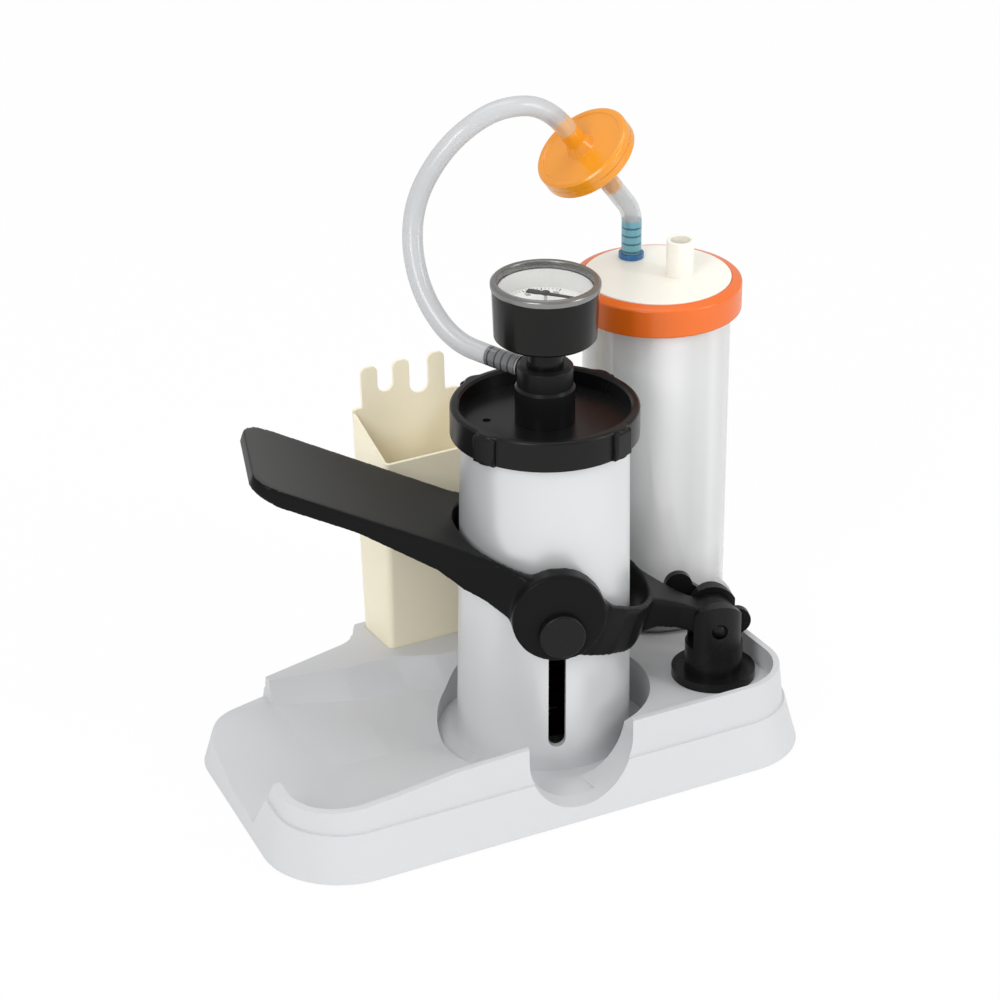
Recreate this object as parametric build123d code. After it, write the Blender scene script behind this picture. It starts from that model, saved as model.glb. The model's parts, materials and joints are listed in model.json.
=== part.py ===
"""Foot-pedal vacuum aspirator: a hand-lever yoke pulls a piston down in an upright pump, which
draws air through a filter and a suction jar. Millimetres, +Z up. The pump's axis is the Z axis,
the ground is z = 0, and the yoke swings in the plane y = 0. The base is turned about Z."""
from math import atan, cos, degrees, hypot, radians, sin, tan
import os

from build123d import *

# Driving dimensions of the pump
BASE_TURN = 20.6
BORE_R = 49.5
HOUSING_WALL = 3.1
HOUSING_DRAFT = 2.6
HOUSING_FOOT_Z = 7.8
HOUSING_TOP_Z = 223.0
SLOT_W = 11.0
SLOT_LOW_Z = 25.0
SLOT_HIGH_Z = 121.0
RUN_GAP = 0.05
FIT_GAP = 0.3
SEAT_GAP = 0.15

# Yoke, pivot and stroke
PIVOT_X = 110.0
PIVOT_Z = 78.0
PIN_Z = 113.0
PIN_R = 4.8
SWING = 30.0
PUMP_CLEAR = 2.2
PEDAL_HALF_W = 45.0
PEDAL_TIP_S = 322.0
PEDAL_TIP_R = 18.0
ARM_OUT_Y = 67.0
BOSS_OUT_Y = 70.5
BOSS_S, BOSS_H, BOSS_R = 120.0, 10.0, 29.5
TAIL_HALF_W = 10.0
EYE_R = 14.0
PIVOT_BOLT_R = 5.0

# Base tray
TRAY_WALL = 3.0
SKIRT_TOP_Z = 30.0
SKIRT_FLARE = 8.0
RIM_Z = 54.0
RIM_LEAN = 12.0
RIM_THICK = 4.0
FLOOR_Z = 38.6
TROUGH_Z = 10.0
BENCH_Z = 22.0
POCKET_Z = 32.0
WELL_R = 68.0
FOOT_H = 1.5
FOOT_R = 9.0
NOTCH_X = 9.0
NOTCH_R = 34.5

# Jar and lid
JAR_X, JAR_Y = 88.2, 101.5
JAR_R = 47.4
JAR_WALL = 2.4
JAR_TOP_Z = 269.0
LID_RISE = 6.0
RING_REACH = 6.9
RING_LIP = 3.1
RING_H = 20.0
BARB_INSET = 15.27
BARB_TURN = 110.97
PORT_OUT = 14.32
PORT_TURN = -10.05
PORT_R = 8.75
PORT_H = 24.0

# Cap, tee and gauge
CAP_R = 58.9
CAP_RIM = 5.9
CAP_SKIRT_H = 4.5
CAP_FLOOR_H = 2.5
CAP_RIM_H = 11.0
GASKET_H = 1.5
LOBES = 4
LOBE_R = 9.5
LOBE_OUT = 2.7
LOBE_BLEND = 7.0
LOBE_TURN = -47.0
TEE_LOW_R, TEE_HIGH_R = 18.7, 17.4
TEE_STEP_H = 22.0
TEE_UPPER_H = 16.0
TEE_BORE_R = 5.0
TEE_PORT_TURN = 133.2
STEM_R = 11.5
STEM_H = 16.5
GAUGE_R = 33.2
GAUGE_H = 38.5
BEZEL_R = 34.0
BEZEL_H = 5.0
GAUGE_WALL = 2.0
DIAL_DEPTH = 17.0
POINTER_DEPTH = 9.5
POINTER_L = 25.5
POINTER_TURN = -30.0

# Tubing and filter
HOSE_R = 6.5
HOSE_BORE_R = 4.2
HOSE_CORNER_Z = 307.0
FILTER_DROP = 58.0
FILTER_TILT = 37.0
FILTER_HEADING = 201.8
FILTER_R = 32.5
FILTER_THICK = 13.0
FILTER_STUB = 10.0
FILTER_REACH = 35.0
FILTER_HUB = 6.0

# Catheter box, in the base's own directions: its foot and its mouth as (a0, a1, b0, b1)
BOX_FOOT = (-63.0, 11.0, 90.0, 127.0)
BOX_MOUTH = (-66.0, 12.0, 88.0, 136.0)
BOX_FRONT_Z = 172.0
BOX_SHOULDER_Z = 192.0
BOX_FINGER_Z = 219.0
BOX_WALL = 2.2
FINGER_SPANS = ((-58.0, -46.5), (-35.0, -23.5), (-9.5, 2.0))
NOTCH_LOW_Z = (200.0, 194.0)

# The hose's route from the tee's barb to the filter's upper port
HOSE_ROUTE = [
    (-27, 29, 257),
    (-50, 45, 262),
    (-66, 64, 283),
    (-72, 79, 310),
    (-69, 88, 337),
    (-57, 90, 362),
    (-39, 91, 383),
    (-13, 97, 396),
]

# Sizes that follow from the ones above
HOUSING_R = BORE_R + HOUSING_WALL
REST_ANGLE = degrees(atan((PIN_Z - PIVOT_Z) / PIVOT_X))
LOW_PIN_Z = PIVOT_Z + PIVOT_X * tan(radians(REST_ANGLE - SWING))
STROKE = PIN_Z - LOW_PIN_Z
CLEAR_R = HOUSING_R + HOUSING_DRAFT + PUMP_CLEAR
CAP_LOW_Z = HOUSING_TOP_Z - CAP_SKIRT_H
CAP_FLOOR_Z = HOUSING_TOP_Z + GASKET_H + CAP_FLOOR_H
CAP_TOP_Z = CAP_FLOOR_Z + CAP_RIM_H
PISTON_Z = CAP_LOW_Z - 24.0
TEE_STEP_Z = CAP_FLOOR_Z + TEE_STEP_H
TEE_TOP_Z = TEE_STEP_Z + TEE_UPPER_H
TEE_PORT_Z = TEE_STEP_Z + TEE_UPPER_H / 2
GAUGE_LOW_Z = TEE_TOP_Z + STEM_H
GAUGE_TOP_Z = GAUGE_LOW_Z + GAUGE_H
DIAL_Z = GAUGE_TOP_Z - DIAL_DEPTH
POINTER_Z = GAUGE_TOP_Z - POINTER_DEPTH
LID_Z = JAR_TOP_Z + LID_RISE
RING_R = JAR_R + RING_REACH
RING_TOP_Z = LID_Z - 1.0
RING_LOW_Z = RING_TOP_Z - RING_H
BARB_X = JAR_X + (JAR_R - BARB_INSET) * cos(radians(BARB_TURN))
BARB_Y = JAR_Y + (JAR_R - BARB_INSET) * sin(radians(BARB_TURN))
PORT_X = JAR_X + PORT_OUT * cos(radians(PORT_TURN))
PORT_Y = JAR_Y + PORT_OUT * sin(radians(PORT_TURN))

parts = {}


def keep(name, shape):
    parts[name] = shape


def tube(outer, inner, low, high):
    ring = Pos(0, 0, low) * Cylinder(outer, high - low, align=(Align.CENTER, Align.CENTER, Align.MIN))
    if inner > 0:
        ring -= Pos(0, 0, low - 1) * Cylinder(
            inner, high - low + 2, align=(Align.CENTER, Align.CENTER, Align.MIN)
        )
    return ring


def block(x0, x1, y0, y1, z0, z1):
    return Pos((x0 + x1) / 2, (y0 + y1) / 2, (z0 + z1) / 2) * Box(x1 - x0, y1 - y0, z1 - z0)


def bar_y(x, z, r, y0, y1):
    return Pos(x, (y0 + y1) / 2, z) * Rot(90, 0, 0) * Cylinder(r, y1 - y0)


def turned(shape):
    return Rot(0, 0, BASE_TURN) * shape


def lathe(points):
    """A solid turned about Z from (radius, z) points."""
    return revolve(Plane.XZ * make_face(Polyline(*points, close=True)), Axis.Z)


def rounded(points, radii):
    """A face whose corners are rounded by one radius each."""
    line = Polyline(*points, close=True)
    face = make_face(line)
    for point, radius in zip(points, radii):
        corner = face.vertices().sort_by_distance((point[0], point[1], 0))[0]
        face = fillet(corner, radius)
    return face


def walls(face, low, high, inset_low, inset_high):
    """A tapered block between two insets of one outline."""
    lower = Pos(0, 0, low) * offset(face, -inset_low, kind=Kind.INTERSECTION)
    upper = Pos(0, 0, high) * offset(face, -inset_high, kind=Kind.INTERSECTION)
    return loft([lower, upper], ruled=True)


def in_base(x, y):
    """A point of the row's plan in the base's own directions."""
    turn = radians(BASE_TURN)
    return x * cos(turn) + y * sin(turn), y * cos(turn) - x * sin(turn)


# Base tray
OUTLINE = rounded(
    [(-229, -102.5), (150, -102.5), (150, 126), (24, 142), (-74, 142), (-86, 122), (-203, 94)],
    [50, 52, 40, 14, 14, 12, 42],
)
JAR_A, JAR_B = in_base(JAR_X, JAR_Y)
LEDGE_R = JAR_R + 6.5
LEDGE_Z = FLOOR_Z + 4.0
PLATFORM_END_A = -150.0
TROUGH_END_A = -12.0


def section(a, points):
    """A closed (b, z) outline in the plane across the base at station a."""
    return Plane(origin=(a, 0, 0), x_dir=(0, 1, 0), z_dir=(1, 0, 0)) * make_face(
        Polyline(*points, close=True)
    )


def trough():
    """The open channel at the base's left: flat floor, long slope, steep wall up to the platform."""
    stations = [(PLATFORM_END_A, 16, 87, 91), (-101, 13.5, 67, 82), (-66, 11, 59, 81), (-41, 10, 53, 69),
                (TROUGH_END_A, 10, 50, 66)]
    main = loft([
        section(a, [(-130, TROUGH_Z), (crease, TROUGH_Z), (bench, BENCH_Z), (top, FLOOR_Z), (top, 80), (-130, 80)])
        for a, crease, bench, top in stations
    ], ruled=True)
    wing = loft([
        section(a, [(-130, TROUGH_Z), (crease, TROUGH_Z), (88, BENCH_Z), (150, BENCH_Z + 1), (150, 80), (-130, 80)])
        for a, crease in ((-245, 20), (PLATFORM_END_A, 16))
    ], ruled=True)
    mouth = extrude(section(-260, [(-17, 5), (-36, 46), (-36, 80), (160, 80), (160, 5)]), 112)
    plan = Pos(0, 0, 5) * extrude(offset(OUTLINE, -(RIM_LEAN + RIM_THICK), kind=Kind.INTERSECTION), 80)
    return (main & plan) + (wing & (plan + mouth))


def box_loft(grow, low):
    """The catheter box's outer block from a height up to its shoulders, grown by a margin."""
    def at(z):
        k = (z - POCKET_Z) / (BOX_SHOULDER_Z - POCKET_Z)
        a0, a1, b0, b1 = (p + (q - p) * k for p, q in zip(BOX_FOOT, BOX_MOUTH))
        return Pos((a0 + a1) / 2, (b0 + b1) / 2, z) * RectangleRounded(
            a1 - a0 + 2 * grow, b1 - b0 + 2 * grow, 4 + 0.9 * grow)
    return loft([at(low), at(BOX_SHOULDER_Z + (1 if grow else 0))], ruled=True)


def base_tray():
    skirt = walls(OUTLINE, FOOT_H - 0.5, SKIRT_TOP_Z, 0, SKIRT_FLARE)
    upper = walls(OUTLINE, SKIRT_TOP_Z, RIM_Z, SKIRT_FLARE + 1.5, RIM_LEAN)
    ledge = Pos(JAR_A, JAR_B, FOOT_H - 0.5) * Cone(
        LEDGE_R + SKIRT_FLARE, LEDGE_R, LEDGE_Z - FOOT_H + 0.5, align=(Align.CENTER, Align.CENTER, Align.MIN)
    )
    tray = skirt + upper + ledge
    # The platform behind the trough has no rim, and the ledge round the jar has a low one
    tray -= block(-260, 20, 12, 160, FLOOR_Z, 80)
    tray -= block(19, 220, 5, 160, LEDGE_Z, 80)
    # The front rim falls towards the left end
    fall = Plane.XZ * make_face(Polyline(
        (-60, RIM_Z), (-111, RIM_Z - 1.6), (-152, RIM_Z - 6.4), (-200, RIM_Z - 10), (-260, RIM_Z - 13),
        (-260, 90), (-60, 90), close=True,
    ))
    tray -= Pos(0, 60, 0) * extrude(fall, 200)
    # The floor that carries the post and the jar
    floor_face = offset(OUTLINE, -(RIM_LEAN + RIM_THICK), kind=Kind.INTERSECTION)
    floor = Pos(0, 0, FLOOR_Z) * extrude(floor_face, 60)
    floor += Pos(JAR_A, JAR_B, 0) * tube(JAR_R + 2.0, 0, FLOOR_Z, 99)
    tray -= floor & block(TROUGH_END_A - 1, 260, -160, 160, 0, 100)
    tray -= trough()
    # The pump's well, open to the trough, with notches that let the yoke's bosses down
    well = tube(WELL_R, 0, HOUSING_FOOT_Z, 90)
    notch = block(NOTCH_X - NOTCH_R, NOTCH_X + NOTCH_R, -140, -40, NOTCH_R + TROUGH_Z, 90)
    notch += bar_y(NOTCH_X, NOTCH_R + TROUGH_Z, NOTCH_R, -140, -40)
    notch += block(-43, 27, 40, 80, 27, 90)
    tray -= Rot(0, 0, -BASE_TURN) * (well + notch)
    # The pocket of the catheter box
    tray -= box_loft(FIT_GAP, POCKET_Z)
    # Hollow underneath
    shell = walls(OUTLINE, -5, FLOOR_Z - TRAY_WALL, TRAY_WALL, SKIRT_FLARE + TRAY_WALL + 3)
    right = shell & block(24, 260, -160, 160, -10, FLOOR_Z - TRAY_WALL)
    back_face = make_face(Polyline((-140, 98), (-70, 88), (25, 76), (25, 145), (-140, 145), close=True))
    back = shell & extrude(Pos(0, 0, -5) * back_face, 5 + POCKET_Z - TRAY_WALL)
    left = walls(OUTLINE, -5, TROUGH_Z - TRAY_WALL, TRAY_WALL, TRAY_WALL + 2) & block(-260, 25, -160, 160, -10, 20)
    hollow = right + back + left
    hollow -= Rot(0, 0, -BASE_TURN) * tube(WELL_R + TRAY_WALL, 0, -10, 90)
    hollow -= Rot(0, 0, -BASE_TURN) * (
        bar_y(NOTCH_X, NOTCH_R + TROUGH_Z, NOTCH_R + TRAY_WALL, -140, -40)
        + block(NOTCH_X - NOTCH_R - TRAY_WALL, NOTCH_X + NOTCH_R + TRAY_WALL, -140, -40, NOTCH_R + TROUGH_Z, 90)
        + block(-46, 30, 40, 83, 24, 90)
    )
    for a, b in foot_places():
        hollow -= Pos(a, b, 0) * tube(FOOT_R + 3, 0, -10, 90)
    for x, y in post_screw_places():
        hollow -= Rot(0, 0, -BASE_TURN) * Pos(x, y, 0) * tube(6, 0, -10, 90)
    tray -= hollow
    # Sockets for the feet, and screw holes
    for a, b in foot_places():
        tray -= Pos(a, b, 0) * tube(FOOT_R + SEAT_GAP, 0, -5, FOOT_H + 2.0)
    tray -= tube(FOOT_R + 3 + SEAT_GAP, 0, -5, FOOT_H + 2.0)
    tray = turned(tray)
    for x, y in post_screw_places():
        tray -= Pos(x, y, 0) * tube(1.9, 0, -5, 90)
        tray -= Pos(x, y, 0) * tube(4.2, 0, -5, FLOOR_Z - 12)
    for x, y in pump_screw_places():
        tray -= Pos(x, y, 0) * tube(1.9, 0, -5, 40)
        tray -= Pos(x, y, 0) * tube(4.2, 0, -5, 4.0)
    return tray


def foot_places():
    return [(-196, -60), (-110, -86), (118, -70), (138, 88), (32, 112), (-120, 92), (-190, 50)]


def post_screw_places():
    return [(PIVOT_X + 20 * cos(radians(t)), 20 * sin(radians(t))) for t in (45, 135, 225, 315)]


def pump_screw_places():
    return [(42 * cos(radians(t)), 42 * sin(radians(t))) for t in (45, 135, 225, 315)]


def rubber_feet():
    pads = [turned(Pos(a, b, 0) * tube(FOOT_R, 0, 0, FOOT_H + 2.0)) for a, b in foot_places()]
    pads.append(tube(FOOT_R + 3, 0, 0, FOOT_H + 2.0))
    return Compound(children=pads)


def screws(places, low, high, head_low):
    out = []
    for x, y in places:
        screw = Pos(x, y, 0) * (tube(1.75, 0, low - 0.5, high) + tube(3.9, 0, head_low, low))
        out.append(screw)
    return Compound(children=out)


# Pump
def pump_housing():
    low, high = HOUSING_FOOT_Z, HOUSING_TOP_Z
    body = lathe([
        (0, low), (HOUSING_R + HOUSING_DRAFT, low), (HOUSING_R, CAP_LOW_Z), (HOUSING_R, high), (0, high),
    ])
    body -= tube(BORE_R, 0, low + 6, high + 1)
    body -= tube(30, 0, low - 1, low + 7)
    for x, y in pump_screw_places():
        boss = Pos(x, y, 0) * tube(6.5, 0, low, low + 14)
        body += boss & tube(BORE_R + 1, 0, low, low + 20)
        body -= Pos(x, y, 0) * tube(1.9, 0, low - 1, low + 11)
    slot = block(-SLOT_W / 2, SLOT_W / 2, -80, 80, SLOT_LOW_Z + SLOT_W / 2, SLOT_HIGH_Z - SLOT_W / 2)
    slot += bar_y(0, SLOT_LOW_Z + SLOT_W / 2, SLOT_W / 2, -80, 80)
    slot += bar_y(0, SLOT_HIGH_Z - SLOT_W / 2, SLOT_W / 2, -80, 80)
    return body - slot


SPRING_LOW_Z = HOUSING_FOOT_Z + 14 + FIT_GAP
CROSS_H = 20.0
SPRING_TOP_Z = PIN_Z - CROSS_H / 2 - FIT_GAP
SPRING_WIRE = 1.3
SPRING_R = 22.0
SPRING_TURNS = 7


def return_spring():
    height = SPRING_TOP_Z - SPRING_LOW_Z - 2 * SPRING_WIRE
    path = Helix(height / SPRING_TURNS, height, SPRING_R)
    start = path @ 0
    along = path % 0
    coil = sweep(Plane(origin=start, z_dir=along) * Circle(SPRING_WIRE), path, is_frenet=True)
    coil = Pos(0, 0, SPRING_LOW_Z + SPRING_WIRE) * coil
    return coil


def spring_seat():
    seat = tube(30, 12, SPRING_LOW_Z - FIT_GAP - 3, SPRING_LOW_Z - FIT_GAP)
    return seat + tube(15, 12, SPRING_LOW_Z - FIT_GAP - 3, SPRING_LOW_Z + 3)


SEAT_LEDGE_Z = SPRING_LOW_Z - FIT_GAP - 3


def piston_head():
    z = PISTON_Z
    head = tube(BORE_R - 0.5, 0, z, z + 12)
    head -= tube(BORE_R, BORE_R - 5, z + 3.5, z + 8.5)
    head -= tube(40, 16, z - 1, z + 6)
    for i in range(6):
        head -= Rot(0, 0, 60 * i) * Pos(11, 0, 0) * tube(2.2, 0, z - 1, z + 14)
    head -= tube(2.05, 0, z, z + 20)
    return head


def piston_seal():
    z = PISTON_Z
    return tube(BORE_R - RUN_GAP, BORE_R - 5 + SEAT_GAP, z + 3.5 + SEAT_GAP, z + 8.5 - SEAT_GAP)


def exhaust_flap():
    z = PISTON_Z + 12
    return tube(16, 2.7, z + FIT_GAP, z + FIT_GAP + 1.6)


FLAP_LIFT = 1.8


def flap_screw():
    z = PISTON_Z + 12
    top = z + 2 * FIT_GAP + 1.6 + FLAP_LIFT
    return tube(2.0, 0, z - 8, top + 1) + tube(5.5, 0, top, top + 2.4) + tube(2.4, 0, z, top)


ROD_R = 7.0


def piston_rod():
    return tube(ROD_R, 0, PIN_Z + CROSS_H / 2, PISTON_Z)


def crosshead():
    """A guide that slides in the bore and holds the cross pin."""
    low, high = PIN_Z - CROSS_H / 2, PIN_Z + CROSS_H / 2
    drum = tube(BORE_R - 0.6, 0, low, high)
    drum -= tube(BORE_R - 5, 28, low - 1, high - 5)
    body = drum & block(-26, 26, -60, 60, low, high)
    body -= bar_y(0, PIN_Z, PIN_R + 0.02, -60, 60)
    return body


def cross_pin():
    return bar_y(0, PIN_Z, PIN_R, -BOSS_OUT_Y - 2.2, BOSS_OUT_Y + 2.2)


def pin_caps():
    caps = []
    for side in (-1, 1):
        y0 = BOSS_OUT_Y + FIT_GAP
        cap = bar_y(0, PIN_Z, 14.5, y0, y0 + 4.2)
        cap = fillet(cap.edges().filter_by(GeomType.CIRCLE).group_by(Axis.Y)[-1], 1.6)
        cap -= bar_y(0, PIN_Z, PIN_R + 0.02, 0, BOSS_OUT_Y + 2.4)
        caps.append(cap if side > 0 else mirror(cap, Plane.XZ))
    return Compound(children=caps)


# Cap, tee and gauge
def pump_cap():
    low, top, seat = CAP_LOW_Z, CAP_TOP_Z, HOUSING_TOP_Z + GASKET_H
    recess = CAP_R - CAP_RIM
    plan = Circle(CAP_R)
    for i in range(LOBES):
        plan += Rot(0, 0, 360 / LOBES * i) * Pos(CAP_R + LOBE_OUT - LOBE_R, 0) * Circle(LOBE_R)
    plan = fillet([v for v in plan.vertices() if hypot(v.X, v.Y) < CAP_R + 0.1], LOBE_BLEND)
    cap = Rot(0, 0, LOBE_TURN) * Pos(0, 0, low) * extrude(plan, top - low)
    cap = fillet(cap.edges().group_by(Axis.Z)[-1], 2.2)
    cap -= lathe([
        (BORE_R - FIT_GAP, low - 1), (HOUSING_R + FIT_GAP, low - 1), (HOUSING_R + FIT_GAP, seat), (BORE_R - FIT_GAP, seat),
    ])
    cap -= lathe([
        (0, CAP_FLOOR_Z), (recess, CAP_FLOOR_Z), (recess, top - 1.5), (recess + 1.5, top), (recess + 1.5, top + 1),
        (0, top + 1),
    ])
    cap -= tube(BORE_R, 0, low - 1, low + 0.5)
    cap -= tube(TEE_BORE_R, 0, low + 2, top)
    for i in range(6):
        cap -= Rot(0, 0, 60 * i) * Pos(10, 0, 0) * tube(1.8, 0, low - 5, low + 3.2)
    cap -= tube(12.5, 0, low + 2.5, low + 3.4)
    cap -= tube(2.8 + SEAT_GAP, 0, low - 5, low + 2)
    cap -= Rot(0, 0, 176) * Pos(36, 0, 0) * tube(2.6, 0, CAP_FLOOR_Z - 1.5, top)
    return cap


def cap_gasket():
    return tube(HOUSING_R - SEAT_GAP, BORE_R + SEAT_GAP, HOUSING_TOP_Z, HOUSING_TOP_Z + GASKET_H)


KEEPER_Z = CAP_LOW_Z + 0.5 - 2 * FIT_GAP - 1.6 - FLAP_LIFT


def inlet_flap():
    """Stored resting open on its keeper, as it hangs."""
    return tube(15, 3.4, KEEPER_Z + RUN_GAP, KEEPER_Z + RUN_GAP + 1.6)


def inlet_keeper():
    return tube(7, 0, KEEPER_Z - 1.5, KEEPER_Z) + tube(2.8, 0, KEEPER_Z, CAP_LOW_Z + 1.5)


def tee_body():
    tee = tube(TEE_LOW_R, 0, CAP_FLOOR_Z, TEE_STEP_Z)
    tee += Pos(0, 0, TEE_STEP_Z) * Cone(
        TEE_LOW_R, TEE_HIGH_R, 1.6, align=(Align.CENTER, Align.CENTER, Align.MIN)
    )
    tee += tube(TEE_HIGH_R, 0, TEE_STEP_Z, TEE_TOP_Z - 2)
    tee += Pos(0, 0, TEE_TOP_Z - 2) * Cone(
        TEE_HIGH_R, TEE_HIGH_R - 2, 2, align=(Align.CENTER, Align.CENTER, Align.MIN)
    )
    side = Plane(origin=(0, 0, TEE_PORT_Z), z_dir=(cos(radians(TEE_PORT_TURN)), sin(radians(TEE_PORT_TURN)), 0))
    spout = lathe([(0, 10), (7.2, 10), (7.2, 18.2), (3.5, 18.2), (3.5, 30), (0, 30)])
    for i in range(2):
        low = 20.0 + 5.0 * i
        spout += lathe([(0, low), (HOSE_BORE_R - RUN_GAP, low), (3.5, low + 4.2), (0, low + 4.2)])
    tee += side * spout
    tee -= side * tube(2.6, 0, 0, 60)
    tee -= tube(TEE_BORE_R, 0, CAP_FLOOR_Z - 1, TEE_PORT_Z + 5)
    tee -= tube(6.6, 0, TEE_TOP_Z - 9, TEE_TOP_Z + 1)
    tee -= tube(2.6, 0, TEE_PORT_Z, TEE_TOP_Z + 1)
    return tee


def gauge_stem():
    stem = tube(STEM_R, 0, TEE_TOP_Z, GAUGE_LOW_Z - SEAT_GAP)
    stem += tube(6.6 - 0.02, 0, TEE_TOP_Z - 8.8, TEE_TOP_Z)
    stem += tube(5, 0, GAUGE_LOW_Z - 1, GAUGE_LOW_Z + 5.5)
    return stem - tube(1.5, 0, TEE_TOP_Z - 12, GAUGE_LOW_Z + 2)


def gauge_case():
    low, high = GAUGE_LOW_Z, GAUGE_TOP_Z - BEZEL_H
    case = lathe([
        (0, low), (GAUGE_R - 3.2, low), (GAUGE_R - 1.4, low + 1.6), (GAUGE_R, high), (0, high),
    ])
    case -= tube(GAUGE_R - 1.4 - GAUGE_WALL, 0, low + 2.5, high + 1)
    return case - tube(5 + SEAT_GAP, 0, low - 1, low + 3)


def gauge_bezel():
    low, high = GAUGE_TOP_Z - BEZEL_H, GAUGE_TOP_Z
    return lathe([
        (GAUGE_R - 3.6, low), (BEZEL_R - 0.3, low), (BEZEL_R, low + 1), (BEZEL_R, high - 1.4),
        (BEZEL_R - 1.4, high), (BEZEL_R - 4, high - 0.4), (GAUGE_R - 3.6, high - 2.2),
    ])


def gauge_inner_wall():
    """The bright liner between the glass and the dial."""
    r = GAUGE_R - 1.4 - GAUGE_WALL - SEAT_GAP
    return tube(r, r - 1.2, DIAL_Z, GAUGE_TOP_Z - BEZEL_H - SEAT_GAP)


def gauge_glass():
    z = GAUGE_TOP_Z - BEZEL_H
    return tube(GAUGE_R - 3.6 - SEAT_GAP, 0, z, z + 2.0)


def gauge_dial():
    r = GAUGE_R - 1.4 - GAUGE_WALL - SEAT_GAP
    return tube(r, 2.4, DIAL_Z - 1.0, DIAL_Z)


def gauge_movement():
    """Bourdon tube, its socket and the bearing of the pointer."""
    z = GAUGE_LOW_Z + 2.5
    arc = CenterArc((0, 0), 22, 30, 270)
    profile = Plane(origin=arc @ 0, z_dir=arc % 0) * Rectangle(3.6, 5.0)
    bourdon = Pos(0, 0, z + 11) * sweep(profile, arc)
    block_in = block(14, 24, 6, 16, z + 6, z + 16)
    frame = tube(9, 0, z + 3.2, z + 14) + block(0, 22, 7, 13, z + 8, z + 12)
    frame += tube(4.2, 0, z + 14, DIAL_Z - 1.0 - SEAT_GAP)
    return bourdon + block_in + frame - tube(1.02, 0, z + 8, DIAL_Z + 5)


def gauge_pointer():
    z = POINTER_Z
    hub = tube(2.6, 0, z, z + 1.6) + tube(1.0 - RUN_GAP, 0, DIAL_Z - 8, z + 0.5)
    needle = make_face(Polyline((0, -1.8), (POINTER_L, -0.7), (POINTER_L, 0.7), (0, 1.8), close=True))
    tail = make_face(Polyline((0, -1.5), (-6, -2.8), (-12, -2.4), (-12, 2.4), (-6, 2.8), (0, 1.5), close=True))
    flat = extrude(Pos(0, 0, z) * needle, 0.8) + extrude(Pos(0, 0, z) * tail, 0.8)
    return Rot(0, 0, POINTER_TURN) * (hub + flat)


# Yoke lever, drawn flat in its own frame: s from the pivot to the pin, h upwards
def on_lever(shape):
    """From the lever's flat frame (s along -X, h up) to its place at rest."""
    return Pos(PIVOT_X, 0, PIVOT_Z) * Rot(0, REST_ANGLE, 0) * shape


def lever_side():
    """The yoke's side view, with X = -s."""
    return make_face(Polyline(
        (6, 8), (-18, 8.5), (-43, 12.6), (-56, 14.8), (-85, 20), (-104, 30), (-144, 28.5), (-174, 27.7),
        (-PEDAL_TIP_S, 43.8), (-PEDAL_TIP_S - 0.5, 35), (-303, 30.8), (-252, 25.6), (-196, 12.5), (-178, 4.3),
        (-148, -1.5), (-140, -12), (-104, -14), (-72, -14), (-59, -15.5), (-50, -11), (-40, -7.5), (6, -8),
        close=True,
    ))


def lever_plan():
    """The yoke seen from above, with X = -s: tail, ring round the pump, arms and pedal plate."""
    ring = [(-BOSS_S + 5 + 68 * cos(radians(t)), 68 * sin(radians(t))) for t in (18, 30, 42, 54, 66, 78)]
    outer = [
        (0, TAIL_HALF_W), (-26, TAIL_HALF_W), (-38, TAIL_HALF_W + 5), *ring, (-112, ARM_OUT_Y),
        (-138, ARM_OUT_Y - 1), (-150, 61), (-163, 50), (-182, PEDAL_HALF_W), (-PEDAL_TIP_S - 1, PEDAL_HALF_W),
    ]
    mirrored = [(x, -y) for x, y in reversed(outer)]
    face = make_face(Polyline(*outer, *mirrored, close=True))
    return fillet(face.vertices().group_by(Axis.X)[0], PEDAL_TIP_R)


def lever_yoke():
    side = extrude(Plane.XZ * lever_side(), 80, both=True)
    plan = extrude(Pos(0, 0, -40) * lever_plan(), 120)
    yoke = side & plan
    yoke += bar_y(0, 0, EYE_R, -TAIL_HALF_W, TAIL_HALF_W)
    for y in (-1, 1):
        y0, y1 = sorted((y * (CLEAR_R - 1), y * BOSS_OUT_Y))
        yoke += bar_y(-BOSS_S, BOSS_H, BOSS_R, y0, y1)
    clear = CLEAR_R
    # The pump's outline swept about the pivot, and the pump at both ends of the swing
    ring_face = Plane(origin=(-PIVOT_X, 0, 0), x_dir=(1, 0, 0), z_dir=(0, 0, 1)) * Circle(clear)
    yoke -= Rot(0, -24, 0) * revolve(ring_face, Axis.Y, 56)
    yoke -= Rot(0, -REST_ANGLE, 0) * Pos(-PIVOT_X, 0, 0) * Cylinder(clear, 400)
    yoke -= Rot(0, SWING - REST_ANGLE, 0) * Pos(-PIVOT_X, 0, 0) * Cylinder(clear, 400)
    # The pin's slots, long enough for the arc that the pin cuts across
    reach = PIVOT_X / cos(radians(REST_ANGLE))
    slot = block(-reach - PIN_R - 1.2, -PIVOT_X + PIN_R + 1.2, -90, 90, -PIN_R - 1.0, PIN_R + 1.0)
    yoke -= slot
    yoke -= bar_y(0, 0, PIVOT_BOLT_R + RUN_GAP, -30, 30)
    # A ribbed pocket under the pedal
    under = block(-296, -206, -PEDAL_HALF_W + 4, PEDAL_HALF_W - 4, 0, 60) & Pos(0, 0, -6.5) * side
    under -= block(-300, -200, -1.5, 1.5, -10, 80)
    yoke -= under & block(-296, -206, -50, 50, -10, 36)
    return on_lever(yoke)


# Pivot post
POST_R = 18.5
POST_FLANGE_R = 26.8
POST_FLANGE_H = 6.0


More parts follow.
